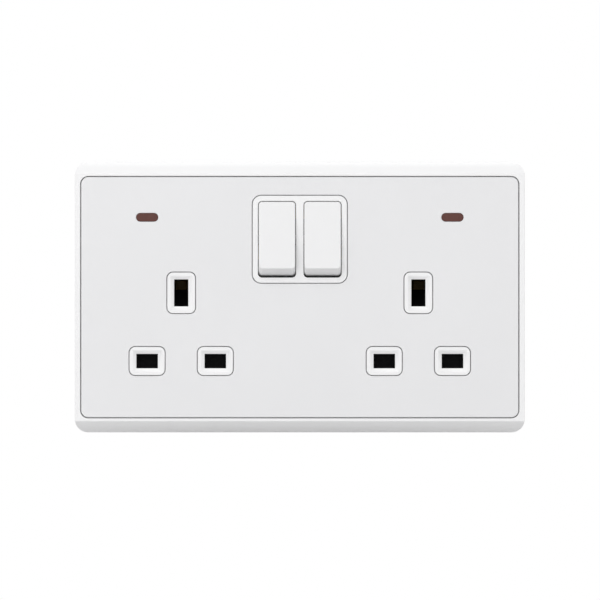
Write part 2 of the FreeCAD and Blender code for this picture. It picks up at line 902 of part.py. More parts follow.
def housing_screws():
    screws = []
    for x, z in screw_places():
        under_head = floor_inside + screw_gap
        head_back = under_head + screw_head_height
        shank = flat_rod_y(screw_radius, x, web_back + web_thickness, under_head, z)
        head = flat_rod_y(screw_head_radius, x, under_head, head_back, z, head_flat_count)
        cross = []
        for width, height in ((0.35, 1.3), (1.3, 0.35)):
            a = width * screw_radius
            b = height * screw_radius
            cross.append(block(x - a, x + a, head_back - screw_head_height / 2, head_back, z - b, z + b))
        screws.append(union([shank, head]).cut(cross))
    return Part.makeCompound(screws)


def shutter(side):
    x = outlet_x(side)
    bar_half = pin_pitch / 2 + line_hole_width / 2 + shutter_cover
    bar_low = line_row - shutter_bar_height / 2
    bar_high = line_row + shutter_bar_height / 2
    stem_half = shutter_stem_width / 2
    ramp_low = earth_height - earth_hole_height / 2 - shutter_ramp_cover
    ramp_high = ramp_low + shutter_travel
    bar = block(x - bar_half, x + bar_half, shutter_front, shutter_back, bar_low, bar_high)
    upright = [e for e in bar.Edges if e.BoundBox.YLength > shutter_thickness / 2]
    bar = bar.makeChamfer(shutter_corner, upright)
    slot_low = bar_high + shutter_slot_low - shutter_peg_height - 2 * guide_gap
    slot_high = slot_low + shutter_slot_length
    stem_high = ramp_low
    stem = block(x - stem_half, x + stem_half, shutter_front, shutter_back, bar_high, stem_high)
    ramp_half = shutter_ramp_width / 2
    ramp_back = shutter_front + shutter_ramp_depth
    ramp_points = [
        (shutter_front, ramp_low),
        (ramp_back, ramp_high),
        (ramp_back, ramp_low - shutter_cover),
        (shutter_back, ramp_low - shutter_cover * 2),
        (shutter_front, ramp_low - shutter_cover * 2),
    ]
    ramp = side_profile(ramp_points, x - ramp_half, x + ramp_half)
    slot_half = shutter_slot_width / 2
    slot = block(x - slot_half, x + slot_half, shutter_front, shutter_back, slot_low, slot_high)
    return union([bar, stem, ramp]).cut(slot)


def shutter_spring_ends():
    bar_high = line_row + shutter_bar_height / 2
    low = bar_high + shutter_slot_low - guide_gap
    high = bar_high + shutter_slot_low - shutter_peg_height - 2 * guide_gap + shutter_slot_length
    return low, high


def shutter_spring(side):
    low, high = shutter_spring_ends()
    spring = coil(shutter_spring_radius, shutter_spring_turns, high - low - guide_gap)
    spring.translate(vec(outlet_x(side), (shutter_front + shutter_back) / 2, low + guide_gap / 2))
    return spring


def shutter_guide(side):
    x = outlet_x(side)
    half = pin_pitch / 2 + line_hole_width / 2 + shutter_cover
    low = housing_inside_low + guide_foot
    high = earth_height + earth_hole_height / 2 + surround_width
    plate = block(x - half, x + half, guide_front, guide_back, low, high)
    rail_inner = shutter_stem_width / 2 + guide_gap
    rail_outer = rail_inner + guide_rail_width
    rail_low = line_row + shutter_bar_height / 2 + guide_margin
    rail_high = earth_height - earth_hole_height / 2 - shutter_cover
    rails = []
    for sign in (-1, 1):
        near, far = sorted((x + sign * rail_inner, x + sign * rail_outer))
        rails.append(block(near, far, web_back, guide_front, rail_low, rail_high))
    windows = []
    for pin_x in (line_x(side), neutral_x(side)):
        a = line_hole_width / 2
        b = line_hole_height / 2
        windows.append(block(pin_x - a, pin_x + a, guide_front, guide_back, line_row - b, line_row + b))
    window_half = shutter_ramp_width / 2 + guide_gap
    ramp_low = earth_height - earth_hole_height / 2 - shutter_ramp_cover
    window_low = ramp_low - shutter_travel - 2 * shutter_cover - guide_gap
    window_high = earth_height + earth_hole_height / 2
    windows.append(block(x - window_half, x + window_half, guide_front, guide_back, window_low, window_high))
    return union([plate] + rails).cut(windows)


def neon_lamp(side):
    y = front + lamp_depth
    x = neon_x(side)
    half = lamp_length / 2
    outer = x + side * (half - lamp_radius)
    inner = x - side * half
    glass = flat_rod_x(lamp_radius, inner, outer, y, neon_level)
    wide = flat_ring_x(lamp_radius, outer, y, neon_level)
    narrow = flat_ring_x(lamp_radius / 3, outer + side * lamp_radius, y, neon_level)
    return union([glass, tapered(wide, narrow)])


def resistor_middle(side):
    return neon_x(side) - side * resistor_offset


def neon_resistor(side):
    y = front + lamp_depth
    x = resistor_middle(side)
    half = resistor_length / 2
    return flat_rod_x(resistor_radius, x - half, x + half, y, neon_level)


def neon_leads(side):
    y = front + lamp_depth
    lamp_end = neon_x(side) - side * lamp_length / 2
    half = resistor_length / 2
    near = resistor_middle(side) + side * half
    far = resistor_middle(side) - side * half
    layer = line_layer if side < 0 else deep_layer
    across = wire_section(vec(lamp_end, y, neon_level), vec(0, 1, 0), vec(0, 0, 1), lead_radius)
    link = Part.Face(across).extrude(vec(near - lamp_end, 0, 0))
    tag_x = far - side * strip_width
    to_line = bent_wire(
        [vec(far, y, neon_level), vec(tag_x, y, neon_level), vec(tag_x, layer, neon_level)],
        lead_radius,
        lead_bend,
    )
    drop_x = lamp_end - side * lead_spread
    start_z = neon_level - lead_step
    to_neutral = bent_wire(
        [
            vec(lamp_end, y, start_z),
            vec(drop_x, y, start_z),
            vec(drop_x, neutral_layer - 2 * lead_bend, neutral_bar_height),
            vec(drop_x, neutral_layer, neutral_bar_height),
        ],
        lead_radius,
        lead_bend,
    )
    return Part.makeCompound([link, to_line, to_neutral])


def seat(x, z, top):
    half = seat_size / 2
    return block(x - half, x + half, top, floor_inside, z - half, z + half)


def housing_seats():
    # Seats under every conductor, as high as the face that they carry.
    line_back = line_layer + strip_thickness
    deep_back = deep_layer + strip_thickness
    neutral_back = neutral_layer + strip_thickness
    earth_back = earth_layer + strip_thickness
    terminal = terminal_places()["line_terminal"]
    bar_middle = (line_bar_low + line_bar_high) / 2
    seats = [
        seat(line_x(-1), line_row, line_back),
        seat(line_x(-1), (earth_height + carrier_height) / 2, line_back),
        seat(line_x(-1), line_row / 3, line_back),
        seat(line_x(1), line_row, deep_back),
        seat(line_x(1), earth_height, deep_back),
        seat(outlet_x(1) - seat_size, carrier_height, deep_back),
        seat(0, bar_middle, line_back),
        seat(terminal, (earth_height + carrier_height) / 2, line_back),
        seat(neutral_x(-1), line_row, line_layer),
        seat(neutral_x(1), line_row, line_layer),
        seat(outlet_x(-1), neutral_bar_height, neutral_back),
        seat(outlet_x(1), neutral_bar_height, neutral_back),
        seat(outlet_x(-1) / 2, earth_height, earth_back),
        seat(outlet_x(1) / 2 + seat_size, earth_height, earth_back),
    ]
    for side in sides.values():
        seats.append(seat(rocker_x(side), carrier_height, line_back))
        seats.append(seat(side * seat_size, (line_row + earth_height) / 2, earth_back))
    return seats


def housing_cradles():
    # Forked ribs that hold the neon lamps and the resistors.
    y = front + lamp_depth
    cradles = []
    for side in sides.values():
        places = [
            (neon_x(side) + side * 0.2 * lamp_length, lamp_radius),
            (neon_x(side) - side * 0.2 * lamp_length, lamp_radius),
            (resistor_middle(side), resistor_radius),
        ]
        for x, radius in places:
            half = rib_thickness / 2
            reach = radius + rib_thickness / 2
            rib = block(x - half, x + half, y, floor_inside, neon_level - reach, neon_level + reach)
            cradles.append(rib.cut(flat_rod_x(radius + guide_gap / 2, x - half, x + half, y, neon_level)))
    return cradles


def housing_keepers():
    # Ribs that close the trunnion slots behind the rockers.
    top = pivot_y + trunnion_radius + 2 * trunnion_gap
    half_height = trunnion_radius - trunnion_gap
    outer = rocker_pitch / 2 + well_width / 2 + well_side_wall / 2
    inner_half = (rocker_pitch - well_width) / 2 - guide_gap
    outer_half = well_side_wall / 2 - guide_gap
    keepers = []
    for x, half in ((-outer, outer_half), (0, inner_half), (outer, outer_half)):
        low, high = switch_height - half_height, switch_height + half_height
        keepers.append(block(x - half, x + half, top, floor_inside, low, high))
    return keepers


def rear_housing():
    width = 2 * housing_half_width
    height = housing_top - housing_bottom
    outer = slab(0, housing_middle, width, height, housing_corner_radius, web_back, housing_depth)
    rear = [e for e in outer.Edges if all(abs(v.Y - housing_depth) < 0.001 for v in e.Vertexes)]
    outer = outer.makeChamfer(housing_chamfer, rear)
    inner = slab(
        0,
        housing_middle,
        width - 2 * housing_wall,
        height - 2 * housing_wall,
        housing_corner_radius - housing_wall,
        web_back,
        floor_inside,
    )
    tray = outer.cut(inner)
    a = screw_head_radius + 2 * screw_gap + boss_wall
    added = housing_seats() + housing_cradles() + housing_keepers()
    cuts = []
    for x, z in screw_places():
        added.append(block(x - a, x + a, pillar_back, floor_inside, z - a, z + a))
        cuts.append(flat_rod_y(screw_radius + screw_gap, x, pillar_back, housing_depth, z))
        cuts.append(rod_y(screw_head_radius + 2 * screw_gap, x, floor_inside, housing_depth, z))
    middle = (terminal_low + terminal_high) / 2
    for x in terminal_places().values():
        cuts.append(rod_y(clamp_access_radius, x, floor_inside, housing_depth, middle))
        a = wire_hole_width / 2
        y0, y1 = terminal_bore_depth - a, terminal_bore_depth + a
        cuts.append(block(x - a, x + a, y0, y1, housing_bottom, housing_inside_low))
    half = rib_thickness / 2
    barrier_front = terminal_front - strip_thickness
    barrier_high = terminal_high - guide_gap
    for place in (-1, 0, 1):
        x = place * terminal_pitch
        added.append(
            block(x - half, x + half, barrier_front, floor_inside, housing_inside_low, barrier_high)
        )
    return union([tray] + added).cut(cuts)


def build():
    parts = {
        "base_frame": base_frame(),
        "front_plate": front_plate(),
        "rear_housing": rear_housing(),
        "line_bar": line_bar(),
        "fixed_tips": fixed_tips(),
        "neutral_bar": neutral_bar(),
        "earth_bar": earth_bar(),
        "terminal_screws": terminal_screws(),
        "housing_screws": housing_screws(),
    }
    for name, x in terminal_places().items():
        parts[name] = terminal_block(x)
    paired = {
        "rocker": rocker,
        "plunger": plunger,
        "plunger_spring": plunger_spring,
        "moving_contact": moving_contact,
        "moving_tip": moving_tip,
        "line_contact": line_contact,
        "shutter": shutter,
        "shutter_spring": shutter_spring,
        "shutter_guide": shutter_guide,
        "neon_lens": neon_lens,
        "neon_lamp": neon_lamp,
        "neon_resistor": neon_resistor,
        "neon_leads": neon_leads,
    }
    for name, make in paired.items():
        for word, side in sides.items():
            parts[f"{name}_{word}"] = make(side)
    return parts


os.makedirs("parts", exist_ok=True)
for node, shape in build().items():
    shape.exportStep(f"parts/{node}.step")
    print(node, len(shape.Solids), round(shape.Volume, 2), shape.isValid())
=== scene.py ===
import json
import math

import bmesh
import bpy
from mathutils import Matrix, Vector


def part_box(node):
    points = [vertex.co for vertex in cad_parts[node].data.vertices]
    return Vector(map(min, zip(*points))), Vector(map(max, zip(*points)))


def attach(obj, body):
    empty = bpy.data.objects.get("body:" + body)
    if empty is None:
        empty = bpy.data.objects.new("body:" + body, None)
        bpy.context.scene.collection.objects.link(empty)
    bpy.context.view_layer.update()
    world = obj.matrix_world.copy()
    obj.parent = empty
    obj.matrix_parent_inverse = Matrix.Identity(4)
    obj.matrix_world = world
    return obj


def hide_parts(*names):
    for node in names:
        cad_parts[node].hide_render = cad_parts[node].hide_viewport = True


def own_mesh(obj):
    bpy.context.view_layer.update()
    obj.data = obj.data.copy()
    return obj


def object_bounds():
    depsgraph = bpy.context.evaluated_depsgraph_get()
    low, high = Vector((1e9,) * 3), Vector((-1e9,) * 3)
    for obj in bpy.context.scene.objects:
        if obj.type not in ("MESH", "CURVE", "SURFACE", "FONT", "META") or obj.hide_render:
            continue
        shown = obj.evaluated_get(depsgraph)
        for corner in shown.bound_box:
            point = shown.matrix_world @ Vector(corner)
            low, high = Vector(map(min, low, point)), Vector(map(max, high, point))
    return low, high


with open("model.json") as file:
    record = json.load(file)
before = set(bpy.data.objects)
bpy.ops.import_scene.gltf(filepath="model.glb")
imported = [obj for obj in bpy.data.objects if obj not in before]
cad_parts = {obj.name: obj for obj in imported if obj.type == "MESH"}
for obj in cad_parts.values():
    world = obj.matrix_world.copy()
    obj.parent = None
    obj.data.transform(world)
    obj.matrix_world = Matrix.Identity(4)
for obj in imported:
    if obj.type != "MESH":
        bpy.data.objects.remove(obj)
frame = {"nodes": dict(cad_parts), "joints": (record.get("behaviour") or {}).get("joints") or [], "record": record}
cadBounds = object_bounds()
nodes = frame["nodes"]
bodyOf = {node: body for body, held in frame["record"]["behaviour"]["bodies"].items() for node in held}
joints = {joint["name"]: joint for joint in frame["joints"]}
sideSigns = {"left": -1, "right": 1}
mm = 0.001
print("frame loaded:", len(nodes), "nodes")


# Materials

patternSpan = {"low": 0.3, "high": 0.7}  # the share of a noise pattern that its extremes are read from


def newMaterial(name, colour, roughness, metallic=0.0):
    material = bpy.data.materials.new(name)
    material.use_nodes = True
    tree = material.node_tree
    shader = tree.nodes["Principled BSDF"]
    shader.inputs["Base Color"].default_value = (*colour, 1.0)
    shader.inputs["Roughness"].default_value = roughness
    shader.inputs["Metallic"].default_value = metallic
    return material, tree, shader


def addNoise(tree, scale, detail=3.0, stretch=(1.0, 1.0, 1.0)):
    coords = tree.nodes.new("ShaderNodeTexCoord")
    mapping = tree.nodes.new("ShaderNodeMapping")
    mapping.inputs["Scale"].default_value = stretch
    noise = tree.nodes.new("ShaderNodeTexNoise")
    noise.inputs["Scale"].default_value = scale
    noise.inputs["Detail"].default_value = detail
    tree.links.new(coords.outputs["Object"], mapping.inputs["Vector"])
    tree.links.new(mapping.outputs["Vector"], noise.inputs["Vector"])
    return noise.outputs["Fac"]


def addTint(tree, shader, pattern, dark, light):
    ramp = tree.nodes.new("ShaderNodeValToRGB")
    ramp.color_ramp.elements[0].position = patternSpan["low"]
    ramp.color_ramp.elements[0].color = (*dark, 1.0)
    ramp.color_ramp.elements[1].position = patternSpan["high"]
    ramp.color_ramp.elements[1].color = (*light, 1.0)
    tree.links.new(pattern, ramp.inputs["Fac"])
    tree.links.new(ramp.outputs["Color"], shader.inputs["Base Color"])


def addRoughness(tree, shader, pattern, low, high):
    spread = tree.nodes.new("ShaderNodeMapRange")
    spread.inputs["From Min"].default_value = patternSpan["low"]
    spread.inputs["From Max"].default_value = patternSpan["high"]
    spread.inputs["To Min"].default_value = low
    spread.inputs["To Max"].default_value = high
    tree.links.new(pattern, spread.inputs["Value"])
    tree.links.new(spread.outputs["Result"], shader.inputs["Roughness"])


def addBump(tree, shader, pattern, depth):
    bump = tree.nodes.new("ShaderNodeBump")
    bump.inputs["Distance"].default_value = depth
    bump.inputs["Strength"].default_value = 1.0
    tree.links.new(pattern, bump.inputs["Height"])
    tree.links.new(bump.outputs["Normal"], shader.inputs["Normal"])


def scaled(colour, factor):
    return tuple(channel * factor for channel in colour)


def mouldedPlastic(name, look):
    material, tree, shader = newMaterial(name, look["colour"], look["roughness"])
    slow = addNoise(tree, look["cloudScale"])
    addTint(tree, shader, slow, scaled(look["colour"], 1 - look["cloud"]), look["colour"])
    fine = addNoise(tree, look["grainScale"], 2.0)
    spread = look["roughness"] * look["sheenChange"]
    addRoughness(tree, shader, fine, look["roughness"] - spread, look["roughness"] + spread)
    addBump(tree, shader, fine, look["grainDepth"])
    shader.inputs["Specular IOR Level"].default_value = look["specular"]
    return material


def rolledMetal(name, look):
    material, tree, shader = newMaterial(name, look["colour"], look["roughness"], 1.0)
    slow = addNoise(tree, look["cloudScale"])
    addTint(tree, shader, slow, scaled(look["colour"], 1 - look["cloud"]), look["colour"])
    lines = addNoise(tree, look["lineScale"], 3.0, look["stretch"])
    spread = look["roughness"] * look["sheenChange"]
    addRoughness(tree, shader, lines, look["roughness"] - spread, look["roughness"] + spread)
    addBump(tree, shader, lines, look["lineDepth"])
    return material


plasticLooks = {
    "frame_white": {
        "colour": (0.86, 0.86, 0.865), "roughness": 0.34, "specular": 0.45,
        "cloudScale": 25.0, "cloud": 0.012, "grainScale": 700.0, "grainDepth": 0.000002,
        "sheenChange": 0.12,
    },
    "plate_white": {
        "colour": (0.79, 0.79, 0.8), "roughness": 0.55, "specular": 0.4,
        "cloudScale": 30.0, "cloud": 0.015, "grainScale": 4200.0, "grainDepth": 0.000012,
        "sheenChange": 0.12,
    },
    "rocker_white": {
        "colour": (0.8, 0.8, 0.805), "roughness": 0.34, "specular": 0.45,
        "cloudScale": 60.0, "cloud": 0.01, "grainScale": 900.0, "grainDepth": 0.0000015,
        "sheenChange": 0.12,
    },
    "housing_dark": {
        "colour": (0.028, 0.028, 0.031), "roughness": 0.5, "specular": 0.4,
        "cloudScale": 40.0, "cloud": 0.2, "grainScale": 2500.0, "grainDepth": 0.00002,
        "sheenChange": 0.2,
    },
    # the shutters are black plastic, and their colour is set darker still, which paints the shade deep in the
    # socket holes
    "shutter_black": {
        "colour": (0.0025, 0.0025, 0.003), "roughness": 0.6, "specular": 0.06,
        "cloudScale": 60.0, "cloud": 0.2, "grainScale": 1800.0, "grainDepth": 0.00001,
        "sheenChange": 0.2,
    },
    "plunger_nylon": {
        "colour": (0.7, 0.68, 0.6), "roughness": 0.38, "specular": 0.5,
        "cloudScale": 90.0, "cloud": 0.05, "grainScale": 1500.0, "grainDepth": 0.000004,
        "sheenChange": 0.2,
    },
    "resistor_body": {
        "colour": (0.6, 0.46, 0.28), "roughness": 0.3, "specular": 0.5,
        "cloudScale": 300.0, "cloud": 0.15, "grainScale": 1500.0, "grainDepth": 0.00001,
        "sheenChange": 0.2,
    },
}

metalLooks = {
    "copper_alloy": {
        "colour": (0.62, 0.42, 0.2), "roughness": 0.38, "cloudScale": 120.0, "cloud": 0.08,
        "lineScale": 1500.0, "stretch": (1.0, 1.0, 3.0), "lineDepth": 0.000001, "sheenChange": 0.12,
    },
    # a darkened brass, which paints the shade on the earth bar deep in its holes
    "earth_bar_painted_shade": {
        "colour": (0.2, 0.145, 0.08), "roughness": 0.6, "cloudScale": 120.0, "cloud": 0.1,
        "lineScale": 1500.0, "stretch": (1.0, 1.0, 3.0), "lineDepth": 0.000001, "sheenChange": 0.12,
    },
    "terminal_brass": {
        "colour": (0.8, 0.6, 0.26), "roughness": 0.22, "cloudScale": 150.0, "cloud": 0.1,
        "lineScale": 1200.0, "stretch": (1.0, 8.0, 1.0), "lineDepth": 0.000002, "sheenChange": 0.25,
    },
    "contact_silver": {
        "colour": (0.86, 0.85, 0.82), "roughness": 0.2, "cloudScale": 300.0, "cloud": 0.1,
        "lineScale": 1500.0, "stretch": (1.0, 1.0, 1.0), "lineDepth": 0.000002, "sheenChange": 0.25,
    },
    "screw_steel": {
        "colour": (0.62, 0.61, 0.57), "roughness": 0.26, "cloudScale": 400.0, "cloud": 0.12,
        "lineScale": 1600.0, "stretch": (1.0, 4.0, 1.0), "lineDepth": 0.000002, "sheenChange": 0.25,
    },
    # a darker steel, which paints the shade in the screws' slots
    "screw_slot_shade": {
        "colour": (0.2, 0.2, 0.19), "roughness": 0.45, "cloudScale": 400.0, "cloud": 0.2,
        "lineScale": 1600.0, "stretch": (1.0, 4.0, 1.0), "lineDepth": 0.000002, "sheenChange": 0.15,
    },
    "spring_steel": {
        "colour": (0.5, 0.5, 0.5), "roughness": 0.24, "cloudScale": 500.0, "cloud": 0.12,
        "lineScale": 2200.0, "stretch": (1.0, 1.0, 1.0), "lineDepth": 0.000002, "sheenChange": 0.25,
    },
    "lead_wire": {
        "colour": (0.68, 0.67, 0.65), "roughness": 0.3, "cloudScale": 300.0, "cloud": 0.1,
        "lineScale": 1800.0, "stretch": (1.0, 1.0, 1.0), "lineDepth": 0.000002, "sheenChange": 0.25,
    },
}

lensLook = {
    "colour": (0.11, 0.038, 0.03), "roughness": 0.3, "specular": 0.25, "cloud": 0.15,
    "ridgeScale": 2600.0, "ridgeStretch": (1.0, 0.2, 0.2), "ridgeDepth": 0.00001,
}
lampLook = {
    "colour": (0.95, 0.9, 0.85), "roughness": 0.03, "clearness": 0.9, "ior": 1.5,
    "rippleScale": 800.0, "rippleDepth": 0.00001,
}


def lensMaterial():
    material, tree, shader = newMaterial("lens_amber", lensLook["colour"], lensLook["roughness"])
    ridges = addNoise(tree, lensLook["ridgeScale"], 2.0, lensLook["ridgeStretch"])
    addTint(tree, shader, ridges, scaled(lensLook["colour"], 1 - lensLook["cloud"]), lensLook["colour"])
    addBump(tree, shader, ridges, lensLook["ridgeDepth"])
    shader.inputs["Specular IOR Level"].default_value = lensLook["specular"]
    return material


def lampMaterial():
    material, tree, shader = newMaterial("lamp_glass", lampLook["colour"], lampLook["roughness"])
    ripple = addNoise(tree, lampLook["rippleScale"])
    addBump(tree, shader, ripple, lampLook["rippleDepth"])
    shader.inputs["Transmission Weight"].default_value = lampLook["clearness"]
    shader.inputs["IOR"].default_value = lampLook["ior"]
    return material


finishes = {name: mouldedPlastic(name, look) for name, look in plasticLooks.items()}
finishes.update({name: rolledMetal(name, look) for name, look in metalLooks.items()})
finishes["lens_amber"] = lensMaterial()
finishes["lamp_glass"] = lampMaterial()
slotOf = {part["node"]: part["material_slot"] for part in frame["record"]["subparts"]}
paintedShadeFinish = {"earth_bar": "earth_bar_painted_shade"}  # a darker metal, which paints the shade deep in the earth holes

for node, piece in nodes.items():
    piece.data.materials.clear()
    piece.data.materials.append(finishes[paintedShadeFinish.get(node, slotOf[node])])
print("finishes made:", len(finishes))


# Mesh helpers

mergeLook = {"gap": 0.002 * mm, "flatAngle": 0.5}
turnLook = {"poleGap": 0.0005 * mm}


def finishPiece(bm, name, node, others=(), smoothAngle=32.0, slot=None):
    mesh = bpy.data.meshes.new(name)
    bm.to_mesh(mesh)
    bm.free()
    mesh.polygons.foreach_set("use_smooth", [True] * len(mesh.polygons))
    mesh.set_sharp_from_angle(angle=math.radians(smoothAngle))
    mesh.materials.append(finishes[slot or slotOf[node]])
    piece = bpy.data.objects.new(name, mesh)
    bpy.context.scene.collection.objects.link(piece)
    shading = piece.modifiers.new("flatFaces", "WEIGHTED_NORMAL")  # keeps flat faces flat beside their rounds
    shading.keep_sharp = True
    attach(piece, bodyOf[node])
    if slot is None:
        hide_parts(node, *others)
    return piece


def mergedCopy(node):
    bm = bmesh.new()
    bm.from_mesh(nodes[node].data)
    bmesh.ops.remove_doubles(bm, verts=bm.verts, dist=mergeLook["gap"])
    flat = math.radians(mergeLook["flatAngle"])
    bmesh.ops.dissolve_limit(bm, angle_limit=flat, verts=bm.verts, edges=bm.edges)
    return bm


def sharpEdges(bm, angle):
    return [e for e in bm.edges if len(e.link_faces) == 2 and e.calc_face_angle(0) > math.radians(angle)]


def convexEdges(bm, angle):
    return [e for e in sharpEdges(bm, angle) if e.is_convex]


def soften(bm, edges, width, segments):
    bmesh.ops.bevel(
        bm, geom=edges, offset=width, offset_type="OFFSET", segments=segments, profile=0.5,
        affect="EDGES", clamp_overlap=False, material=-1,
    )


def onPlane(edge, axis, level, slack=0.01 * mm):
    return all(abs(v.co[axis] - level) < slack for v in edge.verts)


def corners(places):
    low = Vector(min(place[axis] for place in places) for axis in range(3))
    high = Vector(max(place[axis] for place in places) for axis in range(3))
    return low, high


def islands(bm):
    # the loose solids of a group, each as its lowest and highest corner
    found, seen = [], set()
    for start in bm.verts:
        if start in seen:
            continue
        seen.add(start)
        queue, places = [start], []
        while queue:
            vert = queue.pop()
            places.append(vert.co.copy())
            for edge in vert.link_edges:
                other = edge.other_vert(vert)
                if other not in seen:
                    seen.add(other)
                    queue.append(other)
        found.append(corners(places))
    return found


def lathe(profile, steps):
    # a solid of revolution about Z from (radius, height) pairs
    bm = bmesh.new()
    verts = [bm.verts.new((radius, 0, height)) for radius, height in profile]
    edges = [bm.edges.new(pair) for pair in zip(verts, verts[1:])]
    bmesh.ops.spin(
        bm, geom=verts + edges, cent=(0, 0, 0), axis=(0, 0, 1), angle=2 * math.pi, steps=steps,
        use_merge=True, use_duplicate=False,
    )
    bmesh.ops.remove_doubles(bm, verts=bm.verts, dist=turnLook["poleGap"])
    bmesh.ops.recalc_face_normals(bm, faces=bm.faces)
    return bm


def roundedRim(radius, height, softness, steps=4):
    # the points of a rim that turns from a wall into a flat top
    points = []
    for i in range(steps + 1):
        angle = math.pi / 2 * i / steps
        points.append((radius - softness * (1 - math.cos(angle)), height - softness * (1 - math.sin(angle))))
    return points


def roundedFoot(radius, height, softness, steps=4):
    # the same turn the other way up, from a level where it starts to the wall
    rim = roundedRim(radius, 0, softness, steps)
    return [(wide, height - level) for wide, level in reversed(rim)]


def windWire(wire, radius, stages, stepsPerTurn, wireFaces):
    # a round wire wound up along Z in stages of (turns, rise)
    bm = bmesh.new()
    upright = Matrix.Translation((radius, 0, wire)) @ Matrix.Rotation(math.radians(90), 4, "X")
    bmesh.ops.create_circle(bm, cap_ends=True, radius=wire, segments=wireFaces, matrix=upright)
    geom = bm.verts[:] + bm.edges[:] + bm.faces[:]
    for turns, rise in stages:
        steps = round(turns * stepsPerTurn)
        wound = bmesh.ops.spin(
            bm, geom=geom, cent=(0, 0, 0), axis=(0, 0, 1), dvec=(0, 0, rise / steps),
            angle=2 * math.pi * turns, steps=steps, use_merge=False, use_duplicate=False,
        )
        geom = wound["geom_last"]
    bmesh.ops.recalc_face_normals(bm, faces=bm.faces)
    return bm


def place(bm, origin, direction):
    turn = Vector(direction).to_track_quat("Z", "Y").to_matrix().to_4x4()
    bmesh.ops.transform(bm, matrix=Matrix.Translation(origin) @ turn, verts=bm.verts)
    return bm


def join(target, source):
    mesh = bpy.data.meshes.new("joined")
    source.to_mesh(mesh)
    target.from_mesh(mesh)
    bpy.data.meshes.remove(mesh)
    source.free()
    return target


def cutAway(bm, cutter):
    held = []
    for shape in (bm, cutter):
        mesh = bpy.data.meshes.new("cut")
        shape.to_mesh(mesh)
        shape.free()
        held.append(bpy.data.objects.new("cut", mesh))
        bpy.context.scene.collection.objects.link(held[-1])
    body, tool = held
    modifier = body.modifiers.new("cut", "BOOLEAN")
    modifier.object = tool
    modifier.operation = "DIFFERENCE"
    modifier.solver = "EXACT"
    cut = bpy.data.meshes.new_from_object(body.evaluated_get(bpy.context.evaluated_depsgraph_get()))
    result = bmesh.new()
    result.from_mesh(cut)
    meshes = [cut] + [piece.data for piece in held]
    for piece in held:
        bpy.data.objects.remove(piece)
    for mesh in meshes:
        bpy.data.meshes.remove(mesh)
    return result


def cuboid(centre, size):
    bm = bmesh.new()
    stretch = Matrix.Diagonal((*size, 1.0))
    bmesh.ops.create_cube(bm, size=1.0, matrix=Matrix.Translation(centre) @ stretch)
    return bm


def levelMatrix(jointName):
    # turns a piece of that joint from rest to the middle of its throw
    joint = joints[jointName]
    pivot = Vector(joint["pos_m"])
    angle = math.radians(sum(joint["range_deg"]) / 2)
    return Matrix.Translation(pivot) @ Matrix.Rotation(angle, 4, "X") @ Matrix.Translation(-pivot)


def levelBox(node, level):
    # the lowest and highest corner of a solid that a level matrix has set straight
    return corners([level @ v.co for v in nodes[node].data.vertices])


# Frame, front plate and windows keep their solids' shape and get the small rounds of a moulding

softLooks = {
    "base_frame": {"width": 0.16 * mm, "segments": 3, "angle": 20},
    "front_plate": {"width": 0.2 * mm, "segments": 3, "angle": 20},
    "neon_lens": {"width": 0.15 * mm, "segments": 3, "angle": 20},
}


def softFrontEdges(node, look):
    bm = mergedCopy(node)
    front = min(v.co.y for v in bm.verts)
    edges = [e for e in sharpEdges(bm, look["angle"]) if onPlane(e, 1, front)]
    soften(bm, edges, look["width"], look["segments"])
    return finishPiece(bm, node + "_skin", node)


softFrontEdges("base_frame", softLooks["base_frame"])
softFrontEdges("front_plate", softLooks["front_plate"])
for side in sideSigns:
    softFrontEdges("neon_lens_" + side, softLooks["neon_lens"])
print("frame, plate and windows softened")


# Rockers: rounded faces, tilted as they rest

rockerLook = {"width": 0.35 * mm, "segments": 4, "angle": 12, "depth": 4.5 * mm}


def rockerSkin(side):
    node = "rocker_" + side
    level = levelMatrix(node + "_tilt")
    bm = mergedCopy(node)
    front = min((level @ v.co).y for v in bm.verts)
    reach = front + rockerLook["depth"]
    edges = []
    for edge in convexEdges(bm, rockerLook["angle"]):
        if all((level @ v.co).y < reach for v in edge.verts):
            edges.append(edge)
    soften(bm, edges, rockerLook["width"], rockerLook["segments"])
    return finishPiece(bm, node + "_skin", node)


for side in sideSigns:
    rockerSkin(side)
print("rockers rounded")


# Rear housing: a deep moulding with rounds along its back

housingLook = {"width": 0.3 * mm, "segments": 3, "angle": 20}


def housingSkin():
    bm = mergedCopy("rear_housing")
    back = max(v.co.y for v in bm.verts)
    edges = [e for e in convexEdges(bm, housingLook["angle"]) if onPlane(e, 1, back)]
    soften(bm, edges, housingLook["width"], housingLook["segments"])
    return finishPiece(bm, "rear_housing_skin", "rear_housing")


housingSkin()
print("rear housing rounded")


# Screws: a turned shank with a wound thread and a driven head

screwLooks = {
    "terminal_screws": {
        # slots are (across, along) in slot widths
        "shank": 1.7 * mm, "thread": 0.16 * mm, "pitch": 0.6 * mm, "headHeight": 1.6 * mm, "rim": 0.3 * mm,
        "slots": [(1.0, 9.0)], "slotWidth": 0.8 * mm, "slotDepth": 0.8 * mm, "point": 0.4 * mm,
        "plain": 0.3 * mm,
    },
    "housing_screws": {
        "shank": 1.3 * mm, "thread": 0.22 * mm, "pitch": 1.1 * mm, "headHeight": 1.6 * mm, "rim": 0.75 * mm,
        "slots": [(1.0, 3.4), (3.4, 1.0)], "slotWidth": 0.75 * mm, "slotDepth": 0.95 * mm, "point": 0.9 * mm,
        "plain": 7.0 * mm,
    },
}
screwSteps = {"turned": 40, "thread": 18, "threadFlats": 3, "pointLean": 1 / 3}


def paintSlotShade(bm, look, length):
    # the cut faces of the head get a darker second material, which paints the shade in the slots
    slack = 0.01 * mm
    for face in bm.faces:
        centre = face.calc_center_median()
        if not length - look["slotDepth"] - slack < centre.z < length - slack:
            continue
        for across, along in look["slots"]:
            reach = (along * look["slotWidth"] / 2 + slack, across * look["slotWidth"] / 2 + slack)
            if abs(centre.x) < reach[0] and abs(centre.y) < reach[1]:
                face.material_index = 1


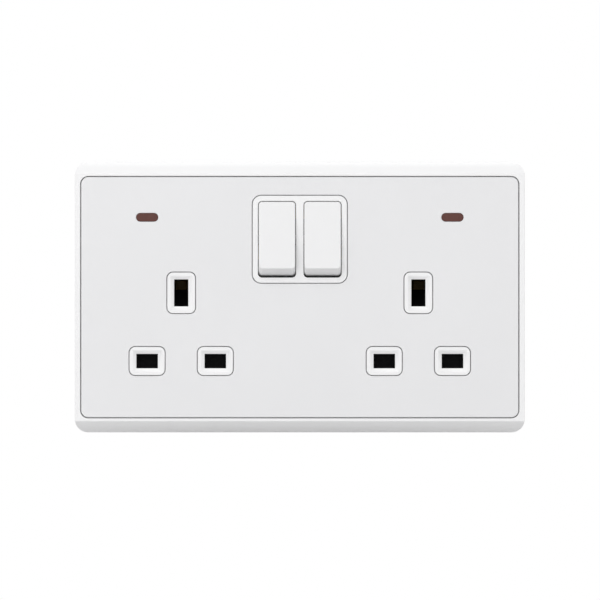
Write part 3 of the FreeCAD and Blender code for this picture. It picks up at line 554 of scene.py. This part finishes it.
def oneScrew(look, headRadius, length):
    # along Z from the point at the origin to the top of the head
    root = look["shank"] - look["thread"]
    under = length - look["headHeight"]
    point = look["point"]
    profile = [(0, 0), (root - point * screwSteps["pointLean"], 0), (root, point)]
    profile += [(root, under), (headRadius, under)]
    profile += roundedRim(headRadius, length, look["rim"]) + [(0, length)]
    bm = lathe(profile, screwSteps["turned"])
    for across, along in look["slots"]:
        size = (along * look["slotWidth"], across * look["slotWidth"], 2 * look["slotDepth"])
        bm = cutAway(bm, cuboid((0, 0, length), size))
    paintSlotShade(bm, look, length)
    return join(bm, threadRidge(look, root, under))


def threadRidge(look, root, under):
    # three flats wound up the shank, from the point to where its plain part starts
    turns = (under - look["plain"] - look["point"]) / look["pitch"]
    bm = bmesh.new()
    outward = Matrix.Rotation(math.radians(90), 4, "X") @ Matrix.Rotation(math.radians(-90), 4, "Z")
    lift = Matrix.Translation((root, 0, look["point"] + look["thread"]))
    bmesh.ops.create_circle(
        bm, cap_ends=True, radius=look["thread"], segments=screwSteps["threadFlats"], matrix=lift @ outward,
    )
    bmesh.ops.spin(
        bm, geom=bm.verts[:] + bm.edges[:] + bm.faces[:], cent=(0, 0, 0), axis=(0, 0, 1),
        dvec=(0, 0, look["pitch"] / screwSteps["thread"]), angle=2 * math.pi * turns,
        steps=round(turns * screwSteps["thread"]), use_merge=False, use_duplicate=False,
    )
    bmesh.ops.recalc_face_normals(bm, faces=bm.faces)
    return bm


def screwSet(node):
    look = screwLooks[node]
    source = mergedCopy(node)
    places = islands(source)
    source.free()
    whole = bmesh.new()
    low, high = places[0]
    screw = oneScrew(look, (high.x - low.x) / 2, high.y - low.y)
    for low, high in places:
        copy = screw.copy()
        middle = (low + high) / 2
        join(whole, place(copy, (middle.x, low.y, middle.z), (0, 1, 0)))
    screw.free()
    piece = finishPiece(whole, node + "_turned", node)
    # the second material paints the shade in the slots
    piece.data.materials.append(finishes["screw_slot_shade"])
    return piece


for node in screwLooks:
    screwSet(node)
print("screws turned")


# Springs: wound wire with closed ends

springLooks = {
    "plunger_spring": {"wire": 0.22 * mm, "closed": 1.0, "open": 3.0},
    "shutter_spring": {"wire": 0.22 * mm, "closed": 1.0, "open": 6.0},
}
springSteps = {"perTurn": 28, "wireFaces": 10, "smoothAngle": 60.0}


def springMesh(look, radius, length):
    closedRise = look["closed"] * 2 * look["wire"]
    rest = length - 2 * closedRise - 2 * look["wire"]
    stages = [(look["closed"], closedRise), (look["open"], rest), (look["closed"], closedRise)]
    return windWire(look["wire"], radius, stages, springSteps["perTurn"], springSteps["wireFaces"])


def plungerSpring(side):
    node = "plunger_spring_" + side
    look = springLooks["plunger_spring"]
    level = levelMatrix("rocker_" + side + "_tilt")
    low, high = levelBox(node, level)
    middle = (low + high) / 2
    radius = (high.x - low.x) / 2 - look["wire"]
    bm = springMesh(look, radius, high.y - low.y)
    place(bm, (middle.x, low.y, middle.z), (0, 1, 0))
    bmesh.ops.transform(bm, matrix=level.inverted(), verts=bm.verts)
    return finishPiece(bm, node + "_wound", node, smoothAngle=springSteps["smoothAngle"])


def shutterSpring(side):
    node = "shutter_spring_" + side
    look = springLooks["shutter_spring"]
    low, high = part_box(node)
    middle = (low + high) / 2
    radius = (high.x - low.x) / 2 - look["wire"]
    bm = springMesh(look, radius, high.z - low.z)
    bmesh.ops.translate(bm, verts=bm.verts, vec=(middle.x, middle.y, low.z))
    piece = finishPiece(bm, node + "_wound", node, smoothAngle=springSteps["smoothAngle"])
    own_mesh(piece)
    return piece


for side in sideSigns:
    plungerSpring(side)
    shutterSpring(side)
print("springs wound")


# Plungers: nylon pins with a wide head, a dimple for the spring's end and a round nose

plungerLook = {
    "stem": 1.3 * mm, "headLength": 3.8 * mm, "rim": 0.3 * mm, "dimple": 0.9 * mm, "dimpleDepth": 0.45 * mm,
    "steps": 36, "noseSteps": 8,
}


def plungerPin(side):
    node = "plunger_" + side
    level = levelMatrix("rocker_" + side + "_tilt")
    low, high = levelBox(node, level)
    middle = (low + high) / 2
    headRadius = (high.x - low.x) / 2
    headLength = plungerLook["headLength"]
    length = high.y - low.y
    stem = plungerLook["stem"]
    rim = plungerLook["rim"]
    dimple = plungerLook["dimple"]
    depth = plungerLook["dimpleDepth"]
    profile = [(0, depth), (dimple, depth), (dimple, 0)]
    profile += roundedFoot(headRadius, rim, rim) + roundedRim(headRadius, headLength, rim)
    profile += [(stem, headLength), (stem, length - stem)]
    profile += roundedRim(stem, length, stem, plungerLook["noseSteps"])
    bm = lathe(profile, plungerLook["steps"])
    place(bm, (middle.x, low.y, middle.z), (0, 1, 0))
    bmesh.ops.transform(bm, matrix=level.inverted(), verts=bm.verts)
    return finishPiece(bm, node + "_turned", node)


for side in sideSigns:
    plungerPin(side)
print("plungers turned")


# Contact tips: small domed silver rivets

tipLook = {"dome": 0.3 * mm, "domeSteps": 4, "steps": 32}


def tipShape(radius, thickness):
    rim = thickness - tipLook["dome"]
    profile = [(0, 0), (radius, 0)]
    for i in range(tipLook["domeSteps"] + 1):
        angle = math.pi / 2 * i / tipLook["domeSteps"]
        profile.append((radius * math.cos(angle), rim + tipLook["dome"] * math.sin(angle)))
    return lathe(profile, tipLook["steps"])


def movingTip(side):
    node = "moving_tip_" + side
    level = levelMatrix("moving_contact_" + side + "_tilt")
    low, high = levelBox(node, level)
    middle = (low + high) / 2
    bm = tipShape((high.x - low.x) / 2, high.y - low.y)
    place(bm, (middle.x, low.y, middle.z), (0, 1, 0))
    bmesh.ops.transform(bm, matrix=level.inverted(), verts=bm.verts)
    return finishPiece(bm, node + "_domed", node)


def fixedTips():
    source = mergedCopy("fixed_tips")
    whole = bmesh.new()
    for low, high in islands(source):
        middle = (low + high) / 2
        tip = tipShape((high.x - low.x) / 2, high.y - low.y)
        join(whole, place(tip, (middle.x, high.y, middle.z), (0, -1, 0)))
    source.free()
    return finishPiece(whole, "fixed_tips_domed", "fixed_tips")


for side in sideSigns:
    movingTip(side)
fixedTips()
print("contact tips domed")


# Neon lamps: a glass tube with a pip, and two electrodes inside it

neonLook = {
    "foot": [(0, 0), (0.5, 0), (0.9, 0.25), (1, 0.7)],  # the pinched end, in tube radii
    "neck": 1.5, "pip": 0.2, "shoulderSteps": 6, "wall": 0.25 * mm, "steps": 32, "smoothAngle": 50.0,
    "rodRadius": 0.35 * mm, "rodSpacing": 1.1 * mm, "rodLength": 4.6 * mm, "rodRim": 0.1 * mm,
}


def electrodeRod():
    radius = neonLook["rodRadius"]
    length = neonLook["rodLength"]
    profile = [(0, 0), (radius, 0)] + roundedRim(radius, length, neonLook["rodRim"]) + [(0, length)]
    return lathe(profile, neonLook["steps"] // 2)


def neonLamp(side):
    node = "neon_lamp_" + side
    low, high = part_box(node)
    middle = (low + high) / 2
    radius = (high.z - low.z) / 2
    length = high.x - low.x
    neck = length - neonLook["neck"] * radius
    pip = neonLook["pip"] * radius
    profile = [(wide * radius, level * radius) for wide, level in neonLook["foot"]] + [(radius, neck)]
    for i in range(1, neonLook["shoulderSteps"]):
        angle = math.pi / 2 * i / neonLook["shoulderSteps"]
        profile.append((radius * math.cos(angle), neck + radius * math.sin(angle)))
    profile += [(pip, length - pip), (0, length)]
    bm = lathe(profile, neonLook["steps"])
    bmesh.ops.solidify(bm, geom=bm.faces[:], thickness=neonLook["wall"])
    sign = sideSigns[side]
    start = low.x if sign > 0 else high.x
    place(bm, (start, middle.y, middle.z), (sign, 0, 0))
    finishPiece(bm, node + "_glass", node, smoothAngle=neonLook["smoothAngle"])
    rods = bmesh.new()
    for step in (-0.5, 0.5):
        beside = step * neonLook["rodSpacing"]
        join(rods, place(electrodeRod(), (start, middle.y, middle.z + beside), (sign, 0, 0)))
    finishPiece(rods, node + "_electrodes", node, slot="lead_wire")


# Resistors: bone-shaped bodies with four plain colour bands

resistorLook = {
    "waist": 0.82, "endLength": 1.6 * mm, "endFlat": 0.7, "bandWidth": 0.5 * mm, "steps": 36,
    "smoothAngle": 50.0,
    "bands": {
        "red": {"place": -1.9 * mm, "colour": (0.45, 0.02, 0.015)},
        "brown": {"place": -0.75 * mm, "colour": (0.12, 0.04, 0.015)},
        "orange": {"place": 0.0, "colour": (0.65, 0.2, 0.02)},
        "gold": {"place": 1.4 * mm, "colour": (0.5, 0.34, 0.08)},
    },
}
bandPaints = {}
for name, band in resistorLook["bands"].items():
    look = dict(plasticLooks["resistor_body"], colour=band["colour"])
    bandPaints[name] = mouldedPlastic("band_" + name, look)


def resistorBody(side):
    node = "neon_resistor_" + side
    low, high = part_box(node)
    middle = (low + high) / 2
    radius = (high.z - low.z) / 2
    length = high.x - low.x
    waist = radius * resistorLook["waist"]
    end = resistorLook["endLength"]
    endFlat = end * resistorLook["endFlat"]
    half = resistorLook["bandWidth"] / 2
    bands = resistorLook["bands"]
    marks = sorted(length / 2 + band["place"] + step for band in bands.values() for step in (-half, half))
    profile = [(0, 0)] + roundedFoot(radius, radius / 2, radius / 2)
    profile += [(radius, endFlat), (waist, end)]
    profile += [(waist, mark) for mark in marks if end < mark < length - end]
    profile += [(waist, length - end), (radius, length - endFlat)]
    profile += roundedRim(radius, length, radius / 2) + [(0, length)]
    bm = lathe(profile, resistorLook["steps"])
    place(bm, (low.x, middle.y, middle.z), (1, 0, 0))
    piece = finishPiece(bm, node + "_banded", node, smoothAngle=resistorLook["smoothAngle"])
    for index, (name, band) in enumerate(bands.items(), 1):
        piece.data.materials.append(bandPaints[name])
        for face in piece.data.polygons:
            if abs(face.center.x - middle.x - band["place"]) < half:
                face.material_index = index


for side in sideSigns:
    neonLamp(side)
    resistorBody(side)
print("lamps and resistors made")


# Pressed and moulded inner pieces keep their solids' shape, with broken edges

brokenEdges = {
    "shutter": {"width": 0.15 * mm, "segments": 2, "angle": 40},
    "neon_leads": {"width": 0.12 * mm, "segments": 3, "angle": 60},
    "moving_contact": {"width": 0.08 * mm, "segments": 2, "angle": 40},
}


def brokenCopy(node, look):
    bm = mergedCopy(node)
    soften(bm, convexEdges(bm, look["angle"]), look["width"], look["segments"])
    return finishPiece(bm, node + "_edged", node)


for side in sideSigns:
    for kind, look in brokenEdges.items():
        brokenCopy(kind + "_" + side, look)
print("inner pieces edged")


# Stage, light and camera

stageLook = {
    "floorDrop": 0.02, "floorSize": 6.0, "floorColour": (0.72, 0.72, 0.72), "floorRoughness": 0.8,
    "worldUp": 0.72, "worldLevel": 0.72, "worldDown": 0.26,
}
lampSettings = {
    "key": {"place": (-0.4, -0.9, 1.1), "size": 0.9, "power": 5.0},
    "fill": {"place": (-0.4, -1.4, 0.3), "size": 1.2, "power": 5.4},
    "back": {"place": (0.3, 1.1, 0.9), "size": 1.0, "power": 2.0},
}
# the photo's scale, and the place of the middle of the frame in it, in pixels
cameraLook = {"imageSize": 600.0, "pixelsPerMm": 3.0717, "middleX": 299.8, "middleZ": 297.2, "distance": 1.0}


def buildFloor():
    bm = bmesh.new()
    bmesh.ops.create_grid(bm, x_segments=1, y_segments=1, size=stageLook["floorSize"] / 2)
    drop = cadBounds[0].z - stageLook["floorDrop"]
    bmesh.ops.translate(bm, verts=bm.verts, vec=(0, 0, drop))
    mesh = bpy.data.meshes.new("floor")
    bm.to_mesh(mesh)
    bm.free()
    floor = bpy.data.objects.new("floor", mesh)
    bpy.context.scene.collection.objects.link(floor)
    material, tree, shader = newMaterial("floorPaint", stageLook["floorColour"], stageLook["floorRoughness"])
    mesh.materials.append(material)


def buildWorld():
    world = bpy.data.worlds.new("studio")
    bpy.context.scene.world = world
    world.use_nodes = True
    tree = world.node_tree
    background = tree.nodes["Background"]
    coords = tree.nodes.new("ShaderNodeTexCoord")
    split = tree.nodes.new("ShaderNodeSeparateXYZ")
    ramp = tree.nodes.new("ShaderNodeValToRGB")
    spread = tree.nodes.new("ShaderNodeMapRange")
    spread.inputs["From Min"].default_value = -1.0
    levels = [(0.0, "worldDown"), (0.5, "worldLevel"), (1.0, "worldUp")]
    ramp.color_ramp.elements.new(0.5)
    for element, (position, key) in zip(ramp.color_ramp.elements, levels):
        element.position = position
        element.color = (stageLook[key],) * 3 + (1.0,)
    tree.links.new(coords.outputs["Generated"], split.inputs["Vector"])
    tree.links.new(split.outputs["Z"], spread.inputs["Value"])
    tree.links.new(spread.outputs["Result"], ramp.inputs["Fac"])
    tree.links.new(ramp.outputs["Color"], background.inputs["Color"])
    seen = tree.nodes.new("ShaderNodeBackground")
    seen.inputs["Color"].default_value = (1.0, 1.0, 1.0, 1.0)
    rays = tree.nodes.new("ShaderNodeLightPath")
    seenBy = rays.outputs["Is Camera Ray"]
    for kind in ("Is Glossy Ray", "Is Transmission Ray"):
        either = tree.nodes.new("ShaderNodeMath")
        either.operation = "MAXIMUM"
        tree.links.new(seenBy, either.inputs[0])
        tree.links.new(rays.outputs[kind], either.inputs[1])
        seenBy = either.outputs["Value"]
    mix = tree.nodes.new("ShaderNodeMixShader")
    tree.links.new(seenBy, mix.inputs["Fac"])
    tree.links.new(background.outputs["Background"], mix.inputs[1])
    tree.links.new(seen.outputs["Background"], mix.inputs[2])
    tree.links.new(mix.outputs["Shader"], tree.nodes["World Output"].inputs["Surface"])


def buildLamp(name, setting):
    data = bpy.data.lights.new(name, "AREA")
    data.size = setting["size"]
    data.energy = setting["power"]
    lamp = bpy.data.objects.new(name, data)
    lamp.location = setting["place"]
    aim = Vector(setting["place"])
    lamp.rotation_euler = aim.to_track_quat("Z", "Y").to_euler()
    bpy.context.scene.collection.objects.link(lamp)


def buildCamera():
    data = bpy.data.cameras.new("camera")
    data.type = "ORTHO"
    data.ortho_scale = cameraLook["imageSize"] / cameraLook["pixelsPerMm"] * mm
    camera = bpy.data.objects.new("camera", data)
    half = cameraLook["imageSize"] / 2
    x = (half - cameraLook["middleX"]) / cameraLook["pixelsPerMm"] * mm
    z = (cameraLook["middleZ"] - half) / cameraLook["pixelsPerMm"] * mm
    camera.location = (x, -cameraLook["distance"], z)
    camera.rotation_euler = (math.radians(90), 0, 0)
    bpy.context.scene.collection.objects.link(camera)
    bpy.context.scene.camera = camera


buildFloor()
buildWorld()
for name, setting in lampSettings.items():
    buildLamp(name, setting)
buildCamera()
bpy.context.scene.view_settings.view_transform = "Standard"
print("stage, lamps and camera ready")
